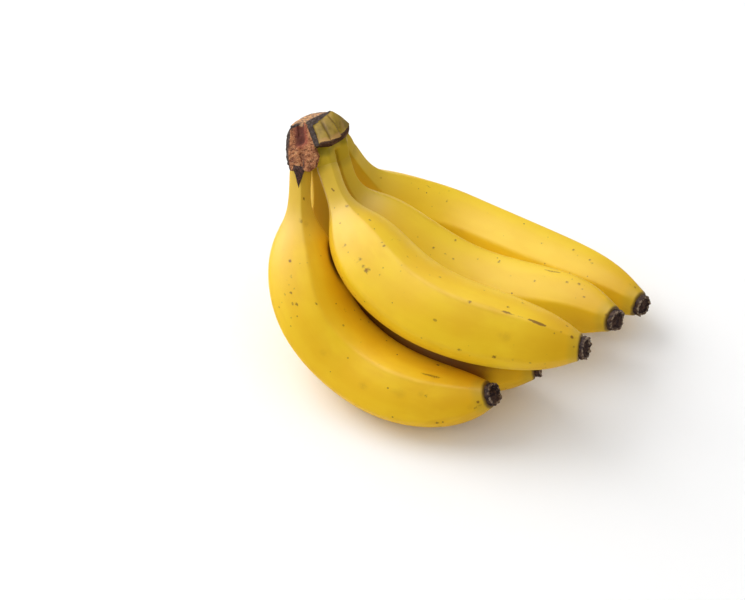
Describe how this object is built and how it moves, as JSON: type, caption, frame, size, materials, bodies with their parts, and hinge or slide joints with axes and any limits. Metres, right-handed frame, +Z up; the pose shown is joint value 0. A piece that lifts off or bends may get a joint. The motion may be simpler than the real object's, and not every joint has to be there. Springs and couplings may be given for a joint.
{
  "type": "bunch of bananas",
  "caption": "Bunch of ripe curved bananas joined at a ribbed crown, lying on its side, for display, picking up or eating.",
  "frame": {"origin": "middle of the bunch's bounding box, at the level of the table it lies on", "axes": "+X along the bunch, from the crown towards the blossom ends; +Y towards the rear finger; +Z up"},
  "size_m": [0.1885, 0.1454, 0.106],
  "materials": {
    "banana_skin": "satin waxy ripe yellow peel, olive near the stalks, with fine brown specks",
    "crown_tissue": "olive ribs, brown fibrous cut face and dark dried edges",
    "dry_blossom": "dry, rough, dark brown"
  },
  "bodies": {
    "root": {"banana_1": "banana_skin", "banana_2": "banana_skin", "banana_3": "banana_skin", "banana_4": "banana_skin", "banana_5": "banana_skin", "crown": "crown_tissue", "blossom_end_1": "dry_blossom", "blossom_end_2": "dry_blossom", "blossom_end_3": "dry_blossom", "blossom_end_4": "dry_blossom", "blossom_end_5": "dry_blossom"}
  },
  "joints": []
}
